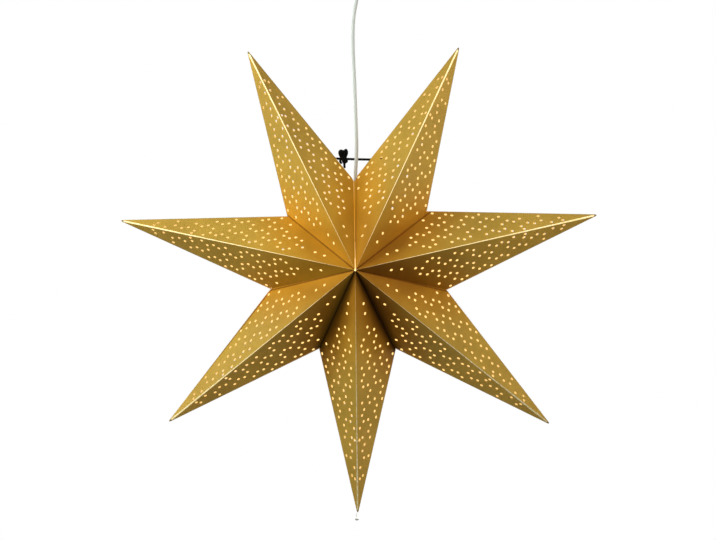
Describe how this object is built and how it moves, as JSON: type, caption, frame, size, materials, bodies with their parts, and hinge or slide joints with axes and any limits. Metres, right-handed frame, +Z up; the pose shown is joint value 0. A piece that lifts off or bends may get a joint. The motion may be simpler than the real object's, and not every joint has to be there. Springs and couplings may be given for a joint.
{
  "type": "folded paper star lantern",
  "caption": "Pointed hanging star lantern of folded punched gold card, lit from inside, with its lampholder, lamp, cord and ceiling cup.",
  "frame": {"origin": "on the ceiling, at the middle of the fitting's top face", "axes": "+Z up, the star's front faces -Y, its points lie in the XZ plane"},
  "size_m": [0.585, 0.168, 0.678],
  "materials": {
    "gold_card": "satin metallic gold card, white paper core at cut edges",
    "black_string": "braided black string",
    "white_cord": "white plastic sheath",
    "white_plastic": "smooth moulded white",
    "insert_plastic": "matt moulded",
    "brass_sheet": "bright sheet",
    "lamp_glass": "opal glass, warm light",
    "nickel": "polished nickel",
    "steel": "zinc plated"
  },
  "bodies": {
    "root": {"point_1": "gold_card", "point_2": "gold_card", "point_3": "gold_card", "point_4": "gold_card", "point_5": "gold_card", "point_6": "gold_card", "point_7": "gold_card", "tie_string": "black_string", "lamp_cord": "white_cord", "cord_grip": "white_plastic", "lampholder_cap": "white_plastic", "lampholder_sleeve": "white_plastic", "contact_insert": "insert_plastic", "screw_shell": "brass_sheet", "centre_contact": "brass_sheet", "bulb": "lamp_glass", "tip_bead": "nickel", "ceiling_cup": "white_plastic", "cup_grip": "white_plastic", "grip_nut": "steel", "terminal_block": "insert_plastic", "fixing_bridge": "steel", "cup_screws": "steel"}
  },
  "joints": []
}
